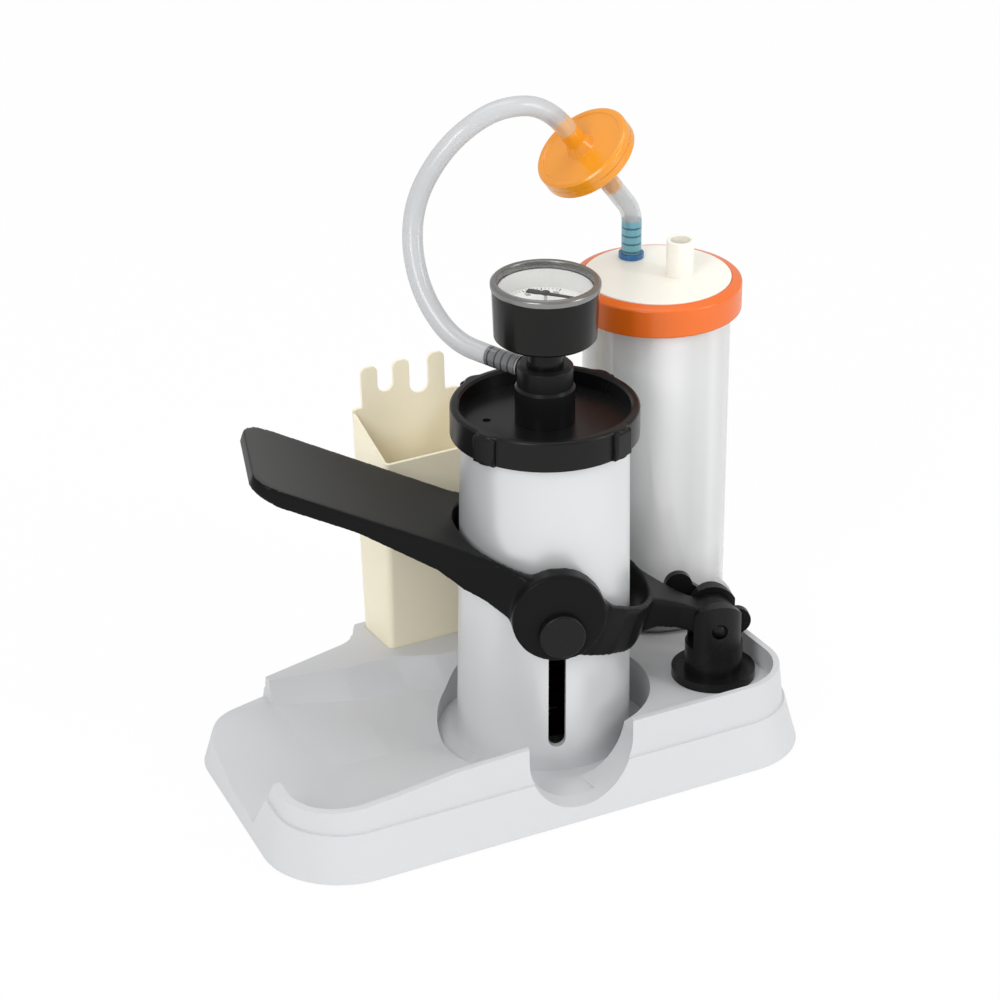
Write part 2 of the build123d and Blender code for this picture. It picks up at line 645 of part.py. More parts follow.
def pivot_post():
    post = Pos(PIVOT_X, 0, 0) * tube(POST_FLANGE_R, 0, FLOOR_Z, FLOOR_Z + POST_FLANGE_H)
    post += Pos(PIVOT_X, 0, 0) * tube(POST_R, 0, FLOOR_Z, PIVOT_Z)
    head = bar_y(PIVOT_X, PIVOT_Z, POST_R - 1, -POST_R - 2, POST_R + 2)
    post += head & (Pos(PIVOT_X, 0, 0) * tube(POST_R, 0, FLOOR_Z, PIVOT_Z + POST_R + 5))
    gap = TAIL_HALF_W + FIT_GAP
    post -= block(PIVOT_X - 30, PIVOT_X + 30, -gap, gap, PIVOT_Z - EYE_R - 1.2, PIVOT_Z + 40)
    post -= bar_y(PIVOT_X, PIVOT_Z, PIVOT_BOLT_R + SEAT_GAP, -30, 30)
    for x, y in post_screw_places():
        post -= Pos(x, y, 0) * tube(1.9, 0, FLOOR_Z - 1, FLOOR_Z + 5)
    return post


def pivot_bolt():
    bolt = bar_y(PIVOT_X, PIVOT_Z, PIVOT_BOLT_R, -POST_R + 1.2, POST_R + 9)
    return bolt


def wing_nut():
    y0, y1 = POST_R + 0.3, POST_R + 10
    nut = bar_y(PIVOT_X, PIVOT_Z, 10.5, y0, y1)
    wing = Pos(PIVOT_X, 0, PIVOT_Z) * Rot(0, 36, 0) * (
        block(-24, 24, y0 + 2, y0 + 7, -6, 6) + bar_y(24, 0, 9, y0 + 2, y0 + 7) + bar_y(-24, 0, 9, y0 + 2, y0 + 7)
    )
    return nut + wing - bar_y(PIVOT_X, PIVOT_Z, PIVOT_BOLT_R + 0.02, 0, POST_R + 20)


# Suction jar
def at_jar(shape):
    return Pos(JAR_X, JAR_Y, 0) * shape


def jar():
    inner = JAR_R - JAR_WALL
    low = FLOOR_Z
    body = lathe([
        (0, low), (JAR_R - 4, low), (JAR_R - 0.6, low + 3.4), (JAR_R, RING_LOW_Z), (JAR_R, JAR_TOP_Z),
        (inner, JAR_TOP_Z), (inner - 0.6, low + 5), (inner - 3, low + 3), (0, low + 3),
    ])
    return at_jar(body)


LID_GASKET_Z = JAR_TOP_Z + SEAT_GAP


def lid_gasket():
    return at_jar(tube(JAR_R, JAR_R - JAR_WALL, LID_GASKET_Z, LID_GASKET_Z + 1.5))


def jar_lid():
    low = LID_GASKET_Z + 1.5 + SEAT_GAP
    lid = at_jar(tube(RING_R - RING_LIP - FIT_GAP, 0, low, low + 1.8) + tube(JAR_R, 0, low, LID_Z))
    lid += at_jar(tube(JAR_R - JAR_WALL - 0.4, JAR_R - JAR_WALL - 2.4, low - 6, low))
    lid += Pos(PORT_X, PORT_Y, 0) * tube(PORT_R, 0, LID_Z - 2, LID_Z + PORT_H)
    lid += Pos(PORT_X, PORT_Y, 0) * tube(PORT_R - 1, 0, low - 22, LID_Z)
    lid -= Pos(PORT_X, PORT_Y, 0) * tube(PORT_R - 2.2, 0, low - 30, LID_Z + PORT_H + 5)
    lid -= Pos(BARB_X, BARB_Y, 0) * tube(5.2, 0, low - 5, LID_Z + 5)
    return lid


def lid_ring():
    low, high = RING_LOW_Z, RING_TOP_Z
    lip = LID_GASKET_Z + 1.5 + SEAT_GAP + 1.8 + SEAT_GAP
    inner = RING_R - RING_LIP
    return at_jar(lathe([
        (JAR_R + FIT_GAP, low), (RING_R - 0.6, low), (RING_R, low + 0.6), (RING_R, high - 2.2),
        (RING_R - 1, high - 1.2), (JAR_R + FIT_GAP, high + 0.6), (JAR_R + FIT_GAP, lip), (inner, lip),
        (inner, lip - 5), (JAR_R + FIT_GAP, lip - 5),
    ]))


def lid_barb():
    low = LID_GASKET_Z + 1.5 + SEAT_GAP
    z = LID_Z
    barb = lathe([
        (0, low - 4), (5.0, low - 4), (5.0, z), (6.0, z), (6.0, z + 3.4), (3.5, z + 3.5), (3.5, z + 21), (0, z + 21.5),
    ])
    for i in range(3):
        step = z + 6 + 5.4 * i
        barb += lathe([(0, step), (HOSE_BORE_R - RUN_GAP, step), (3.5, step + 4.4), (0, step + 4.4)])
    barb -= tube(2.6, 0, low - 10, z + 40)
    return Pos(BARB_X, BARB_Y, 0) * barb


def barb_ring():
    return Pos(BARB_X, BARB_Y, 0) * tube(8.2, 6.0 + SEAT_GAP, LID_Z, LID_Z + 3.6)


FLOAT_TOP_Z = LID_GASKET_Z + 1.5 + SEAT_GAP
CAGE_R = 9.2
CAGE_H = 44.0
BALL_R = 6.0
BALL_TRAVEL = 20.0


def float_cage():
    low = FLOAT_TOP_Z - CAGE_H
    cage = tube(CAGE_R, CAGE_R - 2, low, FLOAT_TOP_Z - SEAT_GAP) + tube(CAGE_R, 3, low, low + 2)
    cage += tube(CAGE_R, 5.2, FLOAT_TOP_Z - 5, FLOAT_TOP_Z - SEAT_GAP)
    for i in range(4):
        cage -= Rot(0, 0, 45 + 90 * i) * block(4, 14, -3.2, 3.2, low + 6, low + 30)
    return Pos(BARB_X, BARB_Y, 0) * cage


def float_ball():
    return Pos(BARB_X, BARB_Y, FLOAT_TOP_Z - CAGE_H + 2 + FIT_GAP + BALL_R) * Sphere(BALL_R)


# Filter: its axis leans and meets the barb's axis at the jar hose's corner
TILT, HEADING = radians(FILTER_TILT), radians(FILTER_HEADING)
FILTER_AXIS = (sin(TILT) * cos(HEADING), sin(TILT) * sin(HEADING), cos(TILT))
HOSE_CORNER = (BARB_X, BARB_Y, HOSE_CORNER_Z)
FILTER_AT = tuple(p + FILTER_DROP * d for p, d in zip(HOSE_CORNER, FILTER_AXIS))


def on_filter(shape):
    across = (cos(TILT) * cos(HEADING), cos(TILT) * sin(HEADING), -sin(TILT))
    return Plane(origin=FILTER_AT, x_dir=across, z_dir=FILTER_AXIS) * shape


def filter_half():
    half = FILTER_THICK / 2
    bore = HOSE_BORE_R - 0.1
    shell = lathe([
        (0, 1.2), (FILTER_R - 1.6, 1.2), (FILTER_R - 1.6, 0.1), (FILTER_R, 0.1), (FILTER_R, half - 1.5),
        (FILTER_R - 1.5, half), (FILTER_R - 4.5, half), (FILTER_R - 5.2, half - 0.9), (HOSE_R + 3, half - 0.3),
        (HOSE_R + 0.4, half + FILTER_HUB), (HOSE_R, half + FILTER_HUB + FILTER_STUB), (bore, half + FILTER_HUB + FILTER_STUB),
        (bore, FILTER_REACH), (0, FILTER_REACH),
    ])
    shell -= lathe([(0, 0), (FILTER_R - 3.2, 0), (FILTER_R - 3.2, half - 2.6), (0, half - 2.6)])
    return shell - tube(2.5, 0, 0, FILTER_REACH + 5)


def filter_membrane():
    return on_filter(tube(FILTER_R - 1.6 - SEAT_GAP, 0, -0.9, 0.9))


HOSE_START_D = 18.4
HOSE_END_D = FILTER_THICK / 2 + FILTER_HUB + FILTER_STUB + SEAT_GAP


def filter_point(distance):
    return tuple(p + distance * d for p, d in zip(FILTER_AT, FILTER_AXIS))


def bend_radii(points):
    """The largest radius that each corner's runs allow."""
    radii = []
    for a, b, c in zip(points, points[1:], points[2:]):
        run_in, run_out = Vector(*b) - Vector(*a), Vector(*c) - Vector(*b)
        turn = run_in.get_angle(run_out)
        radii.append(0.45 * min(run_in.length, run_out.length) / tan(radians(turn / 2)))
    return radii


def hose_along(points, radii):
    path = FilletPolyline(*points, radius=radii)
    start = Plane(origin=path @ 0, z_dir=path % 0)
    solid = sweep(start * Circle(HOSE_R), path) - sweep(start * Circle(HOSE_BORE_R), path)
    area = 3.14159265 * (HOSE_R ** 2 - HOSE_BORE_R ** 2)
    print("hose length", round(path.length, 1), "volume / length x section",
          round(solid.volume / (path.length * area), 4), "radii", [round(r) for r in radii])
    return solid


def vacuum_hose():
    turn = radians(TEE_PORT_TURN)
    start = (HOSE_START_D * cos(turn), HOSE_START_D * sin(turn), TEE_PORT_Z)
    points = [start, *HOSE_ROUTE, filter_point(HOSE_END_D + 24), filter_point(HOSE_END_D)]
    return hose_along(points, bend_radii(points))


def jar_hose():
    start = filter_point(-HOSE_END_D)
    end = (BARB_X, BARB_Y, LID_Z + 3.6 + SEAT_GAP)
    points = [start, HOSE_CORNER, end]
    return hose_along(points, [24.0])


# Catheter box
def catheter_box():
    box = box_loft(0, POCKET_Z + SEAT_GAP) - box_loft(-BOX_WALL, POCKET_Z + 2.6)
    back = BOX_MOUTH[3]
    # The side walls fall from the back wall's shoulders to the front wall's top
    cut = section(-120, [
        (0, BOX_FRONT_Z), (BOX_MOUTH[2] + BOX_WALL, BOX_FRONT_Z), (back - BOX_WALL - 1, BOX_SHOULDER_Z - 2),
        (back - BOX_WALL - 1, 300), (0, 300),
    ])
    box -= extrude(cut, 200)
    lean = (back - BOX_FOOT[3]) / (BOX_SHOULDER_Z - POCKET_Z)
    low, first, last = BOX_SHOULDER_Z - 4, FINGER_SPANS[0][0], FINGER_SPANS[-1][1]
    panel = Pos((first + last) / 2, (low + BOX_FINGER_Z) / 2) * Rectangle(last - first, BOX_FINGER_Z - low)
    for (_, a0), (a1, _), notch_z in zip(FINGER_SPANS, FINGER_SPANS[1:], NOTCH_LOW_Z):
        r = (a1 - a0) / 2
        panel -= Pos((a0 + a1) / 2, notch_z + r) * Circle(r)
        panel -= Pos((a0 + a1) / 2, BOX_FINGER_Z) * Rectangle(2 * r, 2 * (BOX_FINGER_Z - notch_z - r))
    panel = fillet(panel.vertices().group_by(Axis.Y)[-1], 4)
    box += Pos(0, back - lean * BOX_SHOULDER_Z, 0) * Rot(90 - degrees(atan(lean)), 0, 0) * extrude(panel, BOX_WALL)
    return turned(box)


keep("base_tray", base_tray())
keep("rubber_feet", rubber_feet())
keep("pump_screws", screws(pump_screw_places(), 4.0, HOUSING_FOOT_Z + 9, 1.4))
keep("post_screws", screws(post_screw_places(), FLOOR_Z - 12, FLOOR_Z + 4.6, FLOOR_Z - 14.6))
keep("pump_housing", pump_housing())
keep("spring_seat", spring_seat())
keep("return_spring", return_spring())
keep("piston_head", piston_head())
keep("piston_seal", piston_seal())
keep("exhaust_flap", exhaust_flap())
keep("flap_screw", flap_screw())
keep("piston_rod", piston_rod())
keep("crosshead", crosshead())
keep("cross_pin", cross_pin())
keep("pin_caps", pin_caps())
keep("pump_cap", pump_cap())
keep("cap_gasket", cap_gasket())
keep("inlet_flap", inlet_flap())
keep("inlet_keeper", inlet_keeper())
keep("tee_body", tee_body())
keep("gauge_stem", gauge_stem())
keep("gauge_case", gauge_case())
keep("gauge_bezel", gauge_bezel())
keep("gauge_liner", gauge_inner_wall())
keep("gauge_glass", gauge_glass())
keep("gauge_dial", gauge_dial())
keep("gauge_movement", gauge_movement())
keep("gauge_pointer", gauge_pointer())
keep("lever_yoke", lever_yoke())
keep("pivot_post", pivot_post())
keep("pivot_bolt", pivot_bolt())
keep("wing_nut", wing_nut())
keep("jar", jar())
keep("lid_gasket", lid_gasket())
keep("jar_lid", jar_lid())
keep("lid_ring", lid_ring())
keep("lid_barb", lid_barb())
keep("barb_ring", barb_ring())
keep("float_cage", float_cage())
keep("float_ball", float_ball())
keep("filter_upper", on_filter(filter_half()))
keep("filter_lower", on_filter(Rot(180, 0, 0) * filter_half()))
keep("filter_membrane", filter_membrane())
keep("vacuum_hose", vacuum_hose())
keep("jar_hose", jar_hose())
keep("catheter_box", catheter_box())

os.makedirs("parts", exist_ok=True)
for name, shape in parts.items():
    export_step(shape, f"parts/{name}.step")
print("rest angle", round(REST_ANGLE, 3), "stroke", round(STROKE, 2),
      "mm per rad", round(STROKE / radians(SWING), 3))
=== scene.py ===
# %% [markdown]
# # A foot-pedal vacuum aspirator
#
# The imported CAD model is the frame: its sizes, places and joints are fixed. This script gives each CAD
# node a procedural finish and smooth shading, many of them with a softened edge, and adds in Blender what
# the solids leave out or only stand in for: the print on the gauge's dial, the square grips of the pump's
# cap and the soft vacuum hose. Lengths are in metres.

import json
from math import cos, pi, radians, sin

import bmesh
import bpy
from mathutils import Matrix, Vector


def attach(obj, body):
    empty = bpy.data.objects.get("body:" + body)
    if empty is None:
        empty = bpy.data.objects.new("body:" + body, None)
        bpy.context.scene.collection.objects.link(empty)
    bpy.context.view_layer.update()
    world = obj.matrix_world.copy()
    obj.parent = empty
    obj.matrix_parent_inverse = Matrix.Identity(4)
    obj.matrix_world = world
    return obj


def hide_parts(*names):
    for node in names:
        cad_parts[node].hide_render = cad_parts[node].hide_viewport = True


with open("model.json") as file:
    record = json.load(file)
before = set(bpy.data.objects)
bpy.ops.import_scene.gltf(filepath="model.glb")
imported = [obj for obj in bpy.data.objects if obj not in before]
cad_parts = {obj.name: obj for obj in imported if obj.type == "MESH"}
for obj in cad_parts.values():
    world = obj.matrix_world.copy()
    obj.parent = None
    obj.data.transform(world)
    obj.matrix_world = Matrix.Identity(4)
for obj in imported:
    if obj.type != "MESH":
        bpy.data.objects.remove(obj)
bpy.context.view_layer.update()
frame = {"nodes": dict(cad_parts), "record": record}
scene = bpy.context.scene
scene.view_settings.view_transform = "Standard"
print("CAD nodes:", len(frame["nodes"]))

# %% [markdown]
# ## Shared places
#
# On the real object the hose is pushed on to the tee's barb at one end and on to the filter's stub at the
# other, and the filter hangs on a short, bent hose above the jar. The hose's route and the tinted bands
# near its ends both need those places, so each is named once here, with the same sizes as in the CAD's
# source.

# %% Places of the tee's barb, the filter and the jar
TEE_OUT = Vector((-0.6845, 0.7290, 0))
TEE_REACH, TEE_PORT_Z = 0.0184, 0.257
TEE_END = TEE_OUT * TEE_REACH + Vector((0, 0, TEE_PORT_Z))
FILTER_TILT, FILTER_HEADING = radians(37), radians(201.8)
FILTER_AXIS = Vector((
    sin(FILTER_TILT) * cos(FILTER_HEADING), sin(FILTER_TILT) * sin(FILTER_HEADING), cos(FILTER_TILT),
))
HOSE_CORNER, FILTER_DROP = Vector((0.0767, 0.1315, 0.307)), 0.058
FILTER_AT = HOSE_CORNER + FILTER_AXIS * FILTER_DROP
JAR_AXIS = Vector((0.0882, 0.1015, 0))
LID_BARB_Z = 0.2788

# %% [markdown]
# ## Camera
#
# The photograph looks down on the front of the pump. A camera could be placed by eye, but this one was
# fitted: its angles, its target and its lens make the pump, the jar and the base's corners fall where the
# photograph has them.

# %% Camera
AZIMUTH, ELEVATION, DISTANCE = radians(-8.43), radians(26.53), 2.5
TARGET = Vector((-0.02798, 0, 0.17274))
LENS_MM, SENSOR_MM = 144.77, 36.0


def make_camera():
    back = Vector((sin(AZIMUTH) * cos(ELEVATION), -cos(AZIMUTH) * cos(ELEVATION), sin(ELEVATION)))
    data = bpy.data.cameras.new("camera")
    data.lens, data.sensor_width = LENS_MM, SENSOR_MM
    data.clip_start, data.clip_end = 0.1, 30
    camera = bpy.data.objects.new("camera", data)
    scene.collection.objects.link(camera)
    camera.location = TARGET + back * DISTANCE
    camera.rotation_euler = (-back).to_track_quat("-Z", "Y").to_euler()
    scene.camera = camera


make_camera()
print("camera at", tuple(round(c, 3) for c in scene.camera.location))

# %% [markdown]
# ## Light
#
# A product shot on white paper has broad, soft light. Three large lamps give the shading and the long
# highlights on the round pieces, and an even white world fills the shadows. Light Path lets the camera
# and clear plastic see that world at full white, so the background is white without more light on the
# object.

# %% Lamps and world
LIGHT_AIM = Vector((0, 0, 0.15))
WORLD_STRENGTH = 0.70


def area_light(name, place, size, power):
    data = bpy.data.lights.new(name, "AREA")
    data.shape, data.size, data.size_y = "RECTANGLE", size[0], size[1]
    data.energy = power
    light = bpy.data.objects.new(name, data)
    scene.collection.objects.link(light)
    light.location = place
    light.rotation_euler = (Vector(place) - LIGHT_AIM).to_track_quat("Z", "Y").to_euler()


def make_world():
    """An even studio, seen as plain white by the camera and through clear plastic."""
    world = bpy.data.worlds.new("studio")
    world.use_nodes = True
    tree = world.node_tree
    light = tree.nodes["Background"]
    light.inputs["Color"].default_value = (1, 1, 1, 1)
    light.inputs["Strength"].default_value = WORLD_STRENGTH
    white = tree.nodes.new("ShaderNodeBackground")
    white.inputs["Color"].default_value = (1, 1, 1, 1)
    path = tree.nodes.new("ShaderNodeLightPath")
    either = tree.nodes.new("ShaderNodeMath")
    either.operation = "MAXIMUM"
    mix = tree.nodes.new("ShaderNodeMixShader")
    tree.links.new(path.outputs["Is Camera Ray"], either.inputs[0])
    tree.links.new(path.outputs["Is Transmission Ray"], either.inputs[1])
    tree.links.new(either.outputs[0], mix.inputs[0])
    tree.links.new(light.outputs[0], mix.inputs[1])
    tree.links.new(white.outputs[0], mix.inputs[2])
    tree.links.new(mix.outputs[0], tree.nodes["World Output"].inputs["Surface"])
    scene.world = world


make_world()
area_light("key", (-1.2, -1.7, 1.5), (0.8, 1.3), 21)
area_light("right", (1.7, -0.9, 0.9), (0.35, 1.6), 12)
area_light("top", (0.1, 0.3, 2.2), (1.6, 1.0), 9)
print("lamps:", len(bpy.data.lights))

# %% [markdown]
# ## Shader maths
#
# A material is a tree of nodes, which is slow to read when each link is a line. A `Value` wraps one
# socket and turns `a * b + c` into Math nodes, so that a pattern reads as its formula. `Shader.node`
# makes the other nodes from their type, their settings and their inputs. Colours are blended by
# `Shader.mix`, because Math nodes would turn them grey.

# %% A value in a shader
class Value:
    """A shader socket with arithmetic that makes the Math nodes."""

    def __init__(self, shader, socket):
        self.shader, self.socket = shader, socket

    def _math(self, operation, other, clamp=False):
        return self.shader.node("ShaderNodeMath", {"operation": operation, "use_clamp": clamp}, self, other)

    def __add__(self, other):
        return self._math("ADD", other)

    def __sub__(self, other):
        return self._math("SUBTRACT", other)

    def __rsub__(self, other):
        return self._math("MULTIPLY", -1.0) + other

    def __mul__(self, other):
        return self._math("MULTIPLY", other)

    def __gt__(self, other):
        return self._math("GREATER_THAN", other)

    def __lt__(self, other):
        return self._math("LESS_THAN", other)

    __radd__, __rmul__ = __add__, __mul__

    def clamped(self):
        return self._math("ADD", 0.0, clamp=True)

    def step(self, low, high):
        """0 below low, 1 above high, smooth between."""
        return self.shader.node(
            "ShaderNodeMapRange", {"interpolation_type": "SMOOTHSTEP"},
            Value=self, **{"From Min": low, "From Max": high},
        )


# %% One material
class Shader:
    """One material, whose patterns are on Object coordinates."""

    def __init__(self, name):
        self.material = bpy.data.materials.new(name)
        self.material.use_nodes = True
        self.tree = self.material.node_tree
        self.tree.nodes.clear()
        self.place = self.node("ShaderNodeTexCoord", out="Object")

    def node(self, kind, settings=None, *inputs, out=0, **named):
        made = self.tree.nodes.new(kind)
        for key, value in (settings or {}).items():
            setattr(made, key, value)
        for key, value in [*enumerate(inputs), *named.items()]:
            if isinstance(value, Value):
                self.tree.links.new(value.socket, made.inputs[key])
            else:
                made.inputs[key].default_value = value
        return Value(self, made.outputs[out])

    def axis(self, name):
        return self.node("ShaderNodeSeparateXYZ", None, self.place, out=name)

    def along(self, start, direction):
        """Metres past a point, along a direction."""
        steps = self.node(
            "ShaderNodeVectorMath", {"operation": "DOT_PRODUCT"}, self.place, tuple(direction), out="Value"
        )
        return steps - Vector(start).dot(direction)

    def noise(self, scale, detail=4.0, roughness=0.55, stretch=None, seed=0.0):
        place = self.place
        if stretch or seed:
            scale3, shift = stretch or (1, 1, 1), (seed,) * 3
            place = self.node("ShaderNodeMapping", None, place, Scale=scale3, Location=shift)
        return self.node(
            "ShaderNodeTexNoise", None, Vector=place, Scale=scale, Detail=detail, Roughness=roughness
        )

    def cells(self, scale):
        """Distance to the nearest of many scattered points."""
        return self.node("ShaderNodeTexVoronoi", None, Vector=self.place, Scale=scale, out="Distance")

    def mix(self, factor, low, high):
        """A colour between two, by a factor from 0 to 1."""
        made = self.tree.nodes.new("ShaderNodeMix")
        made.data_type = "RGBA"
        for name, kind, value in (("Factor", "VALUE", factor), ("A", "RGBA", low), ("B", "RGBA", high)):
            socket = next(s for s in made.inputs if s.name == name and s.type == kind)
            if isinstance(value, Value):
                self.tree.links.new(value.socket, socket)
            else:
                socket.default_value = (*value, 1)
        return Value(self, next(s for s in made.outputs if s.type == "RGBA"))

    def bump(self, height, strength, distance):
        return self.node("ShaderNodeBump", None, Strength=strength, Distance=distance, Height=height)

    def surface(self, color, roughness, normal, **more):
        """Ends the material in a Principled shader. Names with _ stand for inputs with spaces."""
        named = {"Base Color": color, **{key.replace("_", " "): value for key, value in more.items()}}
        self.end(self.node("ShaderNodeBsdfPrincipled", None, Roughness=roughness, Normal=normal, **named))
        return self.material

    def end(self, shader):
        out = self.tree.nodes.new("ShaderNodeOutputMaterial")
        self.tree.links.new(shader.socket, out.inputs["Surface"])


# %% Colours and bands
def srgb(r, g, b):
    """An 8-bit screen colour as linear light."""
    shares = (r / 255, g / 255, b / 255)
    return tuple(c / 12.92 if c <= 0.04045 else ((c + 0.055) / 1.055) ** 2.4 for c in shares)


def shade(color, factor):
    return tuple(min(1.0, c * factor) for c in color)


def band(value, low, high, edge=0.0004):
    """1 between low and high, with soft ends."""
    return value.step(low - edge, low + edge) * (1 - value.step(high - edge, high + edge))


# %% [markdown]
# ## Moulded plastic
#
# Most pieces are injection moulded. A flat colour would look like a drawing, and a picture of plastic
# would not fit every piece, so the finish is worked out: a fine spark-eroded grain in the bump, a slow
# drift of tone, and a few faint scuffs that change the gloss. Each finish sets its own scale, so that the
# pieces do not look cast from one batch.

# %% Moulded plastic
def moulded(name, color, roughness, grain=900.0, depth=0.12, drift=0.04, scuff=0.08, coat=0.0, **more):
    s = Shader(name)
    fine = s.noise(grain, 3.0, 0.6)
    slow = s.noise(9.0, 3.0, 0.5, seed=3.1)
    marks = s.noise(160.0, 5.0, 0.7, stretch=(1, 1, 0.12), seed=7.7).step(0.60, 0.74)
    tone = s.mix(slow, shade(color, 1 - drift), shade(color, 1 + drift))
    tone = s.mix(marks * 0.25, tone, shade(color, 1 + 3 * drift))
    gloss = slow * 0.08 + marks * scuff + (roughness - 0.05)
    normal = s.bump(fine + marks * 0.3, depth, 0.0002)
    return s.surface(tone, gloss, normal, Coat_Weight=coat, Coat_Roughness=0.12, **more)


# %% [markdown]
# ## The lever's and the pointer's blacks
#
# The pedal's upper face has a painted highlight, paler and rougher towards the tip, so the lever's black is
# mixed with a grey by the face's direction and by the distance from the pump. The pointer is one CAD piece,
# painted black above a level and left bright below it, where the bare spindle is.

# %% Lever and pointer
BLACK = srgb(22, 22, 22)
NEEDLE_LOW_Z = 0.3103


def lever_plastic():
    """The yoke's black, with a painted highlight on the pedal's upper face, paler and rougher to its tip."""
    s = Shader("lever_black")
    fine, slow = s.noise(1300.0, 3.0, 0.6), s.noise(9.0, 3.0, 0.5, seed=3.1)
    facing = s.node("ShaderNodeTexCoord", out="Normal")
    up = s.node("ShaderNodeSeparateXYZ", None, facing, out="Z").step(0.75, 0.9)
    tip = (s.axis("X") * -1.0).step(0.07, 0.27)
    # Painted highlight: the top faces of the pedal are paler, most at the tip.
    painted_sheen = up * tip * (slow * 0.4 + 0.8)
    tone = s.mix(painted_sheen.clamped(), BLACK, srgb(88, 88, 87))
    gloss = slow * 0.08 + painted_sheen * 0.10 + 0.25
    return s.surface(tone, gloss, s.bump(fine, 0.02, 0.0002), Specular_IOR_Level=0.07)


def pointer_black():
    """The needle is black; the spindle that carries it is plain bright wire."""
    s = Shader("pointer_black")
    fine = s.noise(2400.0, 2.0, 0.5)
    needle = s.axis("Z") > NEEDLE_LOW_Z
    tone = s.mix(needle, srgb(205, 205, 203), s.mix(fine, srgb(12, 12, 12), srgb(18, 18, 18)))
    return s.surface(tone, fine * 0.1 + 0.4, s.bump(fine, 0.02, 0.0001), Specular_IOR_Level=0.15)


# %% [markdown]
# ## Metal
#
# Screws, the bezel and the brass movement are turned, which leaves rings round their axis: a noise
# stretched flat across it makes them. The pump is a lacquered tube with a satin silver skin. It is part
# way between paint and metal, so Metallic stays low. Its bore is darkened with painted shade, which a
# mask on the distance from its axis gives.

# %% Turned metal and the pump's tube
BORE_EDGE = 0.0505


def turned_metal(name, color, roughness):
    """Metal with fine turning marks round the Z axis."""
    s = Shader(name)
    rings = s.noise(2600.0, 2.0, 0.5, stretch=(0.02, 0.02, 1))
    slow = s.noise(14.0, 3.0, 0.5)
    tone = s.mix(slow, shade(color, 0.95), shade(color, 1.05))
    gloss = rings * 0.12 + slow * 0.06 + (roughness - 0.09)
    return s.surface(tone, gloss, s.bump(rings, 0.08, 0.0001), Metallic=1.0)


def pump_metal():
    """Satin lacquered tube: even silver, fine grain, slow drift of gloss, and painted shade in its bore."""
    s = Shader("pump_silver")
    fine = s.noise(2200.0, 2.0, 0.5)
    slow = s.noise(7.0, 2.0, 0.5)
    marks = s.noise(90.0, 5.0, 0.7, stretch=(1, 1, 0.08)).step(0.62, 0.74)
    tone = s.mix(slow, srgb(212, 214, 215), srgb(220, 222, 223))
    tone = s.mix(marks * 0.2, tone, srgb(204, 205, 206))
    x, y = s.axis("X"), s.axis("Y")
    # Painted shade: inside the bore the tube is near-black.
    bore_shade = x * x + y * y < BORE_EDGE ** 2
    tone = s.mix(bore_shade, tone, srgb(14, 14, 14))
    return s.surface(tone, slow * 0.08 + marks * 0.06 + 0.30, s.bump(fine, 0.02, 0.0001), Metallic=0.30)


# %% [markdown]
# ## Rubber, filter paper and the gauge's glass
#
# Rubber is dark and dull with a pale bloom. The filter's membrane is pressed fibre, which a pattern of
# cells gives. The gauge's glass is thin and clear and hides nothing of the dial. Real refraction would
# take many samples and blur the small print, so a very low Alpha leaves the glass almost unseen.

# %% Rubber, membrane and glass
RUBBER_TONE = (0.02, 0.02, 0.02)


def rubber(name):
    s = Shader(name)
    fine = s.noise(1500.0, 3.0, 0.6)
    bloom = s.noise(40.0, 4.0, 0.6)
    tone = s.mix(bloom.step(0.4, 0.8) * 0.5, RUBBER_TONE, shade(RUBBER_TONE, 2.2))
    return s.surface(tone, bloom * 0.15 + 0.55, s.bump(fine, 0.2, 0.0002), Specular_IOR_Level=0.35)


def membrane():
    s = Shader("membrane")
    fibres = s.cells(900.0)
    tone = s.mix(fibres, srgb(236, 236, 232), srgb(214, 214, 208))
    return s.surface(tone, 0.9, s.bump(fibres, 0.4, 0.0003))


def gauge_glass(color, roughness, alpha):
    """Thin clear glass: slow waves in its face and a faint haze."""
    s = Shader("glass_clear")
    waves = s.noise(60.0, 2.0, 0.4)
    haze = s.noise(25.0, 3.0, 0.5, seed=2.0)
    tone = s.mix(haze, shade(color, 0.95), shade(color, 1.03))
    gloss = haze * 0.08 + (roughness - 0.04)
    return s.surface(tone, gloss, s.bump(waves, 0.10, 0.0006), Alpha=alpha, IOR=1.45)


# %% [markdown]
# ## The jar's wall
#
# The jar is clear, but in a white studio its wall is nearly all reflection: it looks silvery, with two
# upright streaks, and clears towards the floor. Real refraction would need a wall of exact thickness and
# many samples. Alpha with a pale tone gives the same look as painted reflection: streaks by the distance
# across the jar, and clearing by height. Low down the wall is darkened, and the jar's floor is a dark
# disc: both are painted shade.

# %% Jar
JAR_ACROSS, PER_JAR_RADIUS = (0.989, -0.147, 0), 21.0
CLEARING_LOW_Z, CLEARING_TOP_Z = 0.058, 0.098
FLOOR_LOW_Z, FLOOR_TOP_Z = 0.0420, 0.0426


